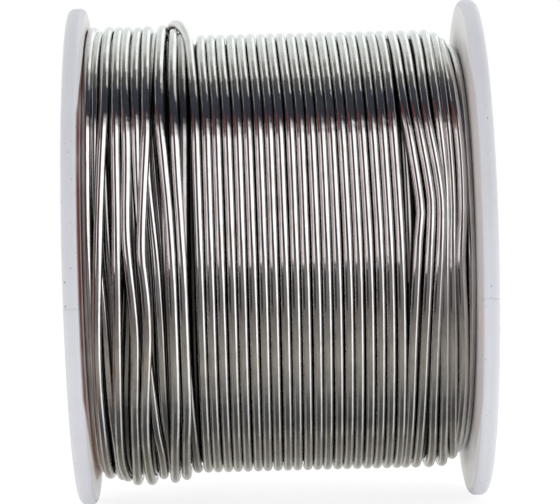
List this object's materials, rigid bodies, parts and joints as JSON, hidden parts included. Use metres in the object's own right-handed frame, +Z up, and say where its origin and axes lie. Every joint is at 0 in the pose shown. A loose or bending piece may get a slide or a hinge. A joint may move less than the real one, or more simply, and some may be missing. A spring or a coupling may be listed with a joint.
{
  "type": "solder wire spool",
  "caption": "Full reel of fine solder wire on a one-piece flanged plastic spool with a plain spindle bore.",
  "frame": {"origin": "middle of the spindle bore, half way between the flanges' outer faces", "axes": "+X along the spindle bore, towards the right flange; +Y to the back; +Z up, with the spool lying on its two rims"},
  "size_m": [0.0432, 0.053, 0.053],
  "materials": {
    "spool_plastic": "frosted natural white moulding",
    "label_paper": "blank coated paper",
    "solder": "bright drawn tin-lead wire",
    "flux": "amber rosin"
  },
  "bodies": {
    "root": {"spool_body": "spool_plastic", "left_label": "label_paper", "right_label": "label_paper", "inner_winding": "solder", "outer_layer": "solder", "start_end": "solder", "start_end_flux": "flux", "free_end": "solder", "free_end_flux": "flux"}
  },
  "joints": []
}
